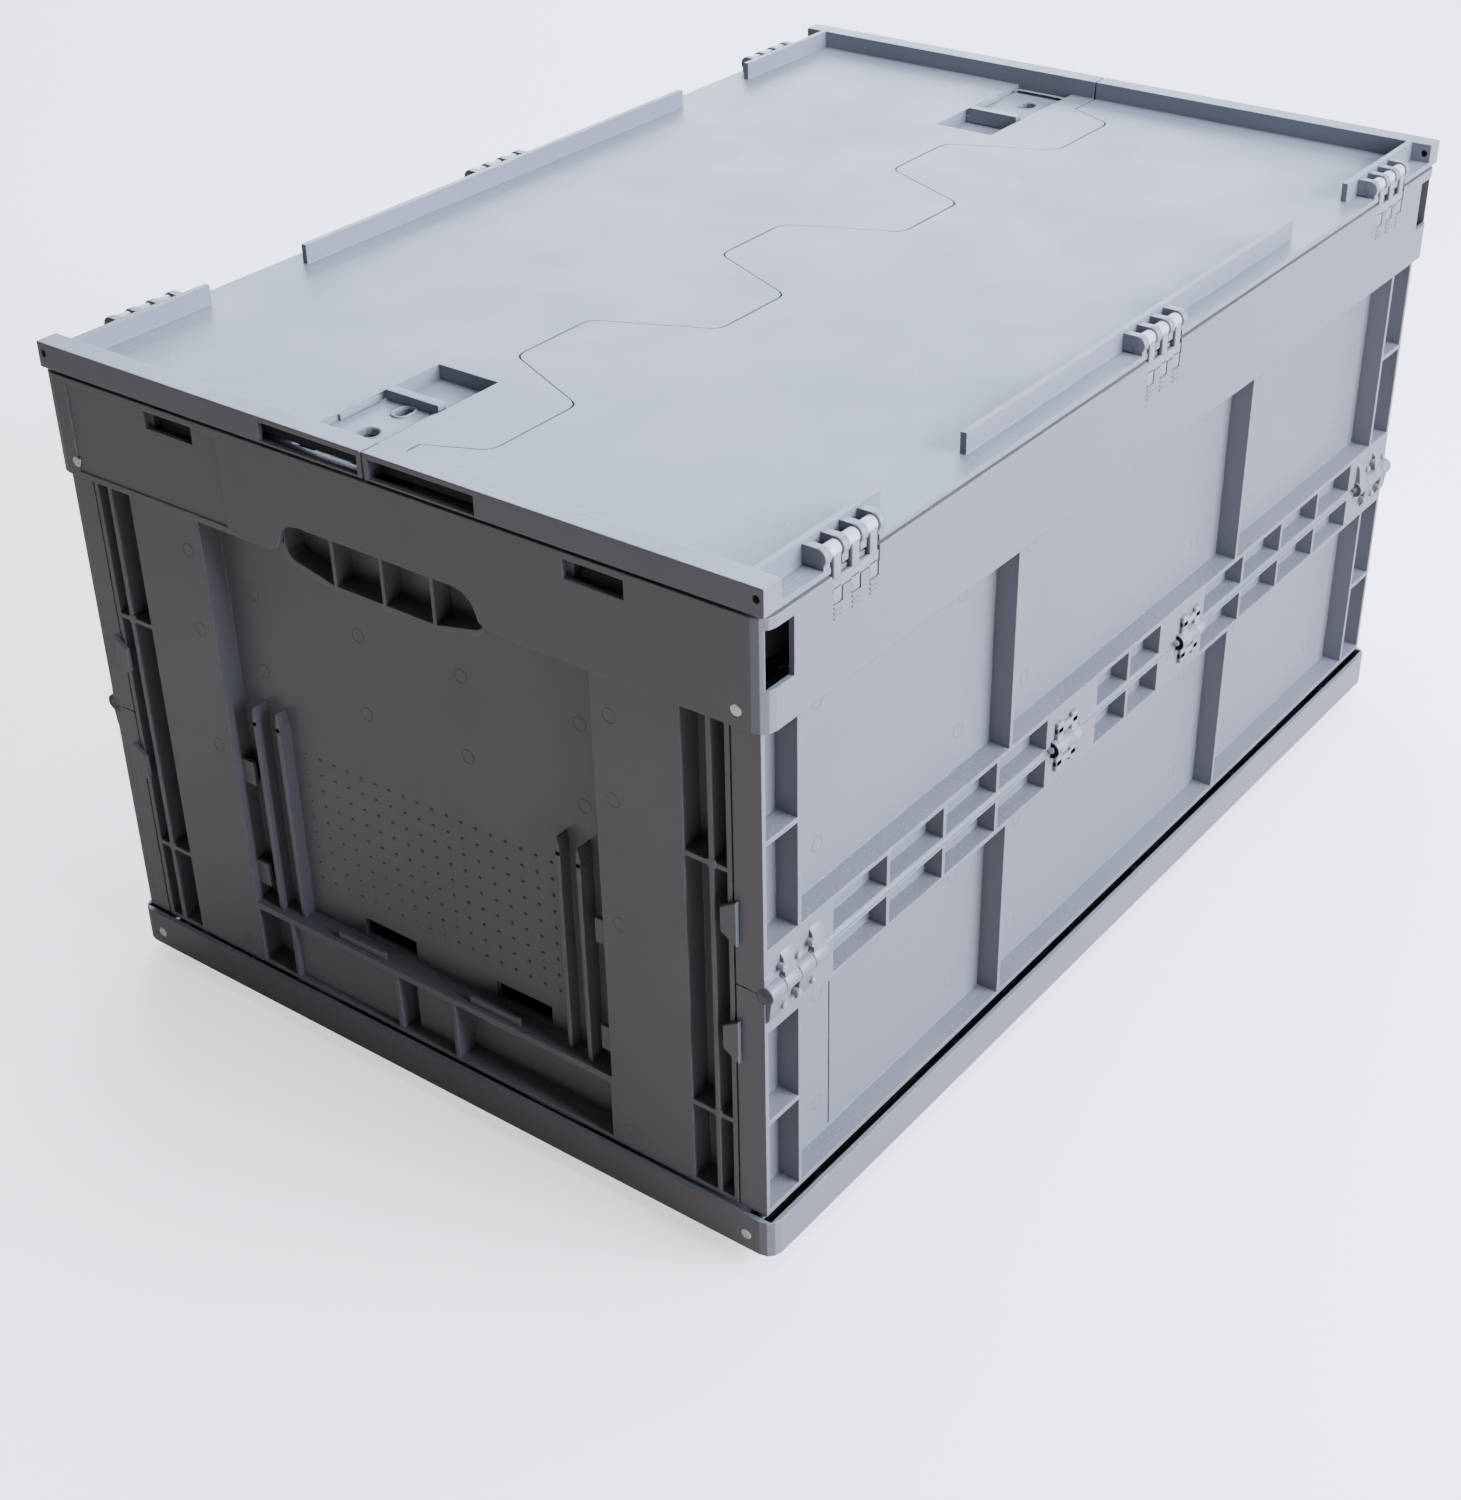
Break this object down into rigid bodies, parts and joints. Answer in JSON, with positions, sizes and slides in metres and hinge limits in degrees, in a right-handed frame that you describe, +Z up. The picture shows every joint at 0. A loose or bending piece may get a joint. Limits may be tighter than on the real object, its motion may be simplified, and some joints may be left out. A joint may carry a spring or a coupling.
{
  "type": "collapsible storage crate",
  "caption": "Collapsible plastic storage crate with ribbed fold-flat side walls, swing-up end walls with hand holds, and a two-leaf lid that meets in a wavy seam.",
  "frame": {"origin": "centre of the footprint, on the plane the crate stands on", "axes": "+Z up, +X along the length towards the rear end, +Y across the width towards the left side, which carries the lid half with the latches"},
  "size_m": [0.6, 0.4, 0.337],
  "materials": {
    "body_plastic": "fine grain, satin",
    "lid_plastic": "fine grain, satin",
    "clip_plastic": "smooth satin",
    "zinc_steel": "drawn, zinc plated"
  },
  "bodies": {
    "shell": {"base_hinge_rod_left": "zinc_steel", "base_hinge_rod_right": "zinc_steel", "base_tray": "body_plastic", "end_pivot_pin_front_left": "zinc_steel", "end_pivot_pin_front_right": "zinc_steel", "end_pivot_pin_rear_left": "zinc_steel", "end_pivot_pin_rear_right": "zinc_steel", "frame_hinge_rod_left": "zinc_steel", "frame_hinge_rod_right": "zinc_steel", "lid_hinge_clip_left_1": "clip_plastic", "lid_hinge_clip_left_2": "clip_plastic", "lid_hinge_clip_left_3": "clip_plastic", "lid_hinge_clip_right_1": "clip_plastic", "lid_hinge_clip_right_2": "clip_plastic", "lid_hinge_clip_right_3": "clip_plastic", "lid_hinge_pin_left_1": "zinc_steel", "lid_hinge_pin_left_2": "zinc_steel", "lid_hinge_pin_left_3": "zinc_steel", "lid_hinge_pin_right_1": "zinc_steel", "lid_hinge_pin_right_2": "zinc_steel", "lid_hinge_pin_right_3": "zinc_steel", "lower_side_wall_left": "body_plastic", "lower_side_wall_right": "body_plastic", "side_hinge_pin_left_1": "zinc_steel", "side_hinge_pin_left_2": "zinc_steel", "side_hinge_pin_left_3": "zinc_steel", "side_hinge_pin_left_4": "zinc_steel", "side_hinge_pin_right_1": "zinc_steel", "side_hinge_pin_right_2": "zinc_steel", "side_hinge_pin_right_3": "zinc_steel", "side_hinge_pin_right_4": "zinc_steel", "top_frame": "body_plastic", "upper_side_wall_left": "body_plastic", "upper_side_wall_right": "body_plastic"},
    "lid_left": {"lid_half_left": "lid_plastic"},
    "lid_right": {"lid_half_right": "lid_plastic"},
    "end_front": {"end_wall_front": "body_plastic"},
    "end_rear": {"end_wall_rear": "body_plastic"},
    "slider_front": {"slider_latch_front": "lid_plastic"},
    "slider_rear": {"slider_latch_rear": "lid_plastic"}
  },
  "joints": [
    {"name": "lid_left_hinge", "type": "hinge", "parent": "shell", "child": "lid_left", "pos_m": [0, 0.196, 0.332], "axis": [1, 0, 0], "range_deg": [-195, 0]},
    {"name": "lid_right_hinge", "type": "hinge", "parent": "shell", "child": "lid_right", "pos_m": [0, -0.196, 0.332], "axis": [-1, 0, 0], "range_deg": [-195, 0]},
    {"name": "end_wall_front_swing", "type": "hinge", "parent": "shell", "child": "end_front", "pos_m": [-0.288, 0, 0.311], "axis": [0, -1, 0], "range_deg": [0, 90]},
    {"name": "end_wall_rear_swing", "type": "hinge", "parent": "shell", "child": "end_rear", "pos_m": [0.288, 0, 0.311], "axis": [0, 1, 0], "range_deg": [0, 90]},
    {"name": "slider_front_slide", "type": "slide", "parent": "lid_left", "child": "slider_front", "axis": [1, 0, 0], "range_m": [-0.006, 0.008]},
    {"name": "slider_rear_slide", "type": "slide", "parent": "lid_left", "child": "slider_rear", "axis": [-1, 0, 0], "range_m": [-0.006, 0.008]}
  ]
}
